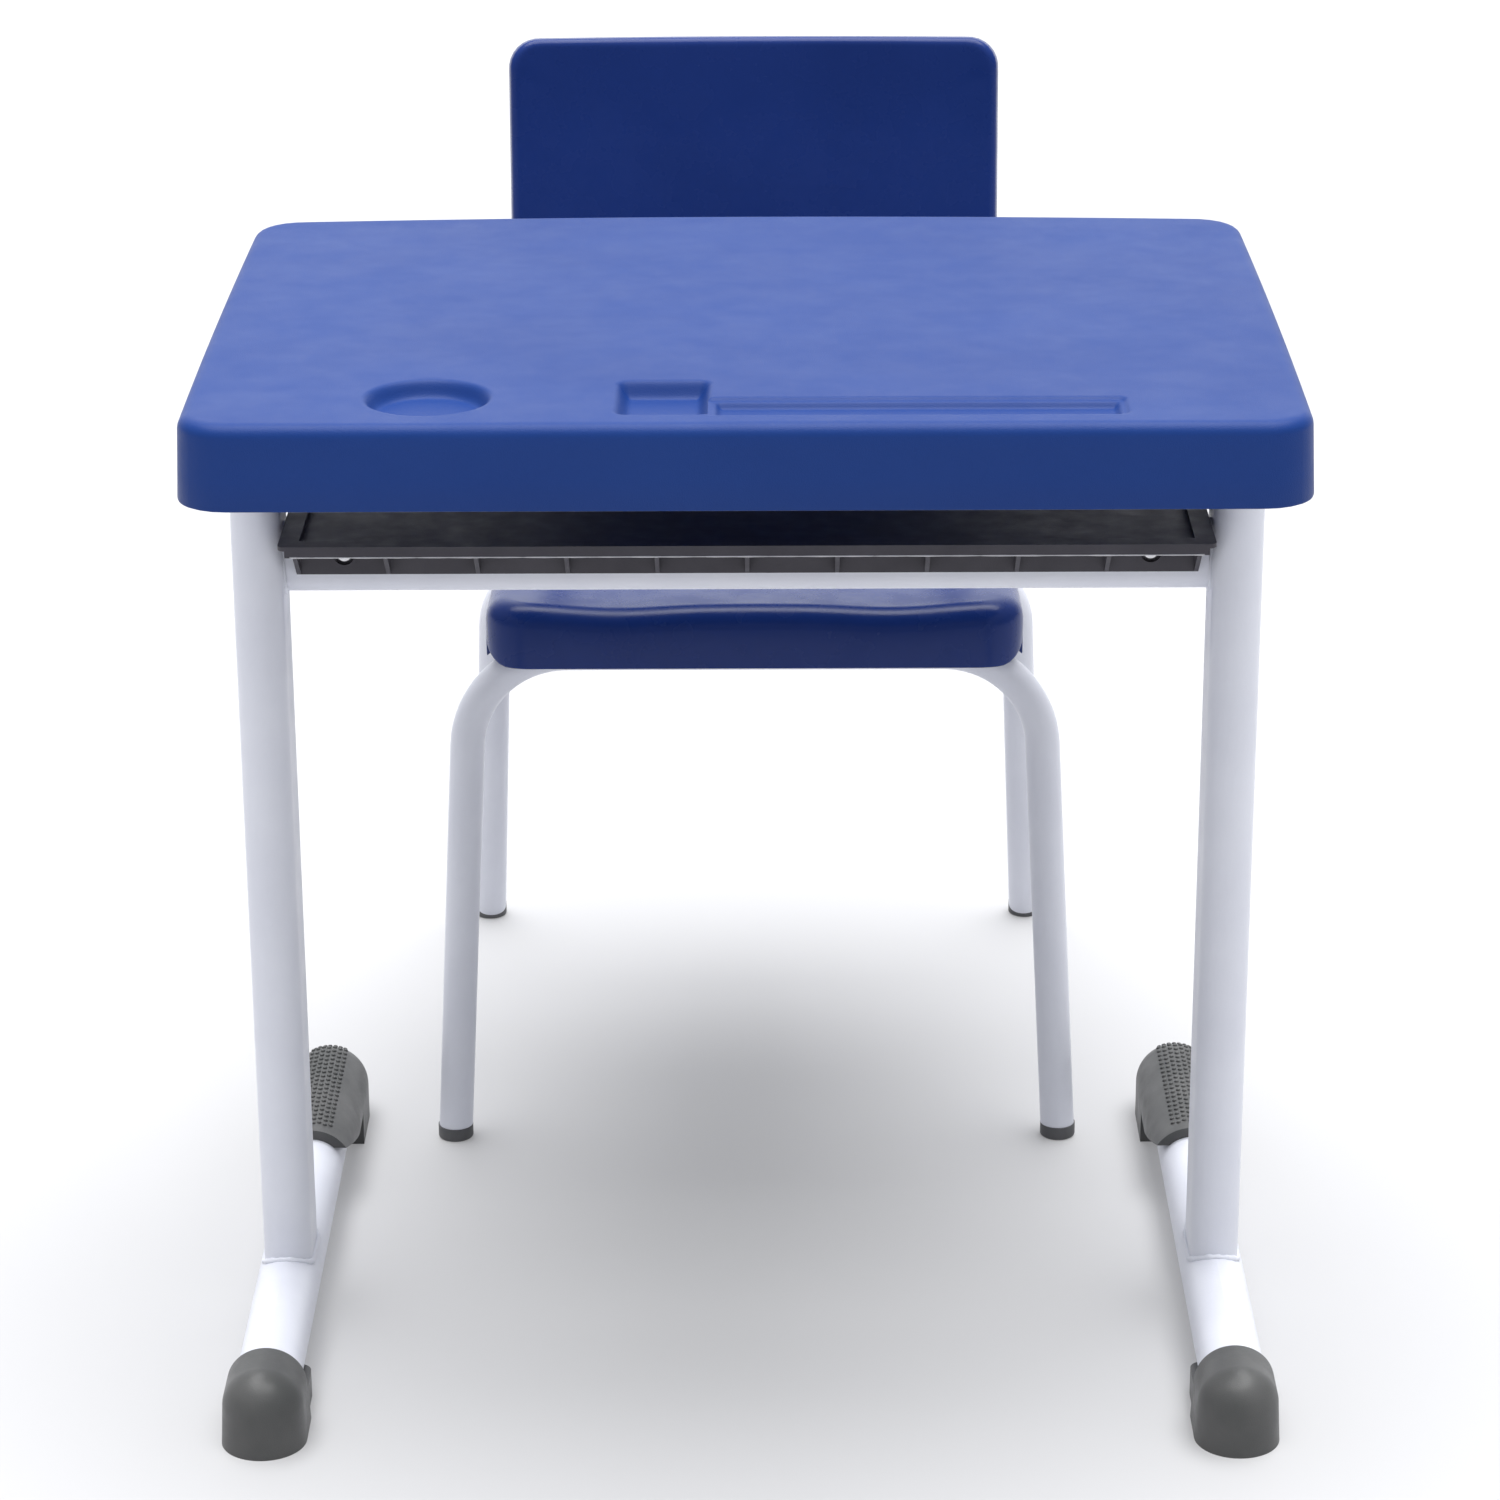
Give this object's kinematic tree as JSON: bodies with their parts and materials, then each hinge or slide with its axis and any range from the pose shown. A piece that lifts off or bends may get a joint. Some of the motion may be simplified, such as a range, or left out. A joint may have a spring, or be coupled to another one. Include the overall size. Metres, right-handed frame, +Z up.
{
  "type": "student desk and chair set",
  "caption": "School desk on a two-post steel frame with a moulded top and a book tray, and its free-standing shell chair.",
  "frame": {"origin": "on the floor, at the centre of the whole set's bounding box", "axes": "+Z up, +Y from the desk's far edge towards the sitter's side and the chair, +X to the right when looking along +Y"},
  "size_m": [0.615, 0.8264, 0.6617],
  "materials": {
    "top_plastic": "fine satin grain",
    "seat_plastic": "gloss",
    "tray_plastic": "satin",
    "cover_plastic": "satin",
    "cap_plastic": "satin",
    "painted_steel": "smooth powder coat",
    "rivet_metal": "plain",
    "screw_steel": "zinc plated"
  },
  "bodies": {
    "desk": {"desk_top": "top_plastic", "top_screws": "screw_steel", "threaded_inserts": "screw_steel", "top_rail": "painted_steel", "left_rail_cap": "cap_plastic", "right_rail_cap": "cap_plastic", "left_post": "painted_steel", "right_post": "painted_steel", "crossbar": "painted_steel", "left_foot_tube": "painted_steel", "right_foot_tube": "painted_steel", "left_front_foot_cover": "cover_plastic", "right_front_foot_cover": "cover_plastic", "left_rear_foot_cover": "cover_plastic", "right_rear_foot_cover": "cover_plastic", "foot_cover_rivets": "rivet_metal", "book_tray": "tray_plastic", "tray_rivets": "rivet_metal", "left_tray_hanger": "painted_steel", "right_tray_hanger": "painted_steel", "hanger_rivets": "rivet_metal"},
    "chair": {"front_leg_frame": "painted_steel", "rear_leg_frame": "painted_steel", "left_chair_rail": "painted_steel", "right_chair_rail": "painted_steel", "chair_tube_plugs": "cap_plastic", "left_front_leg_cap": "cap_plastic", "right_front_leg_cap": "cap_plastic", "left_rear_leg_cap": "cap_plastic", "right_rear_leg_cap": "cap_plastic", "chair_seat": "seat_plastic", "seat_rivets": "rivet_metal", "chair_backrest": "seat_plastic", "backrest_rivets": "rivet_metal"}
  },
  "joints": [
    {"name": "chair_slide", "type": "slide", "parent": "desk", "child": "chair", "axis": [0, 1, 0], "range_m": [-0.29, 0.5]}
  ]
}
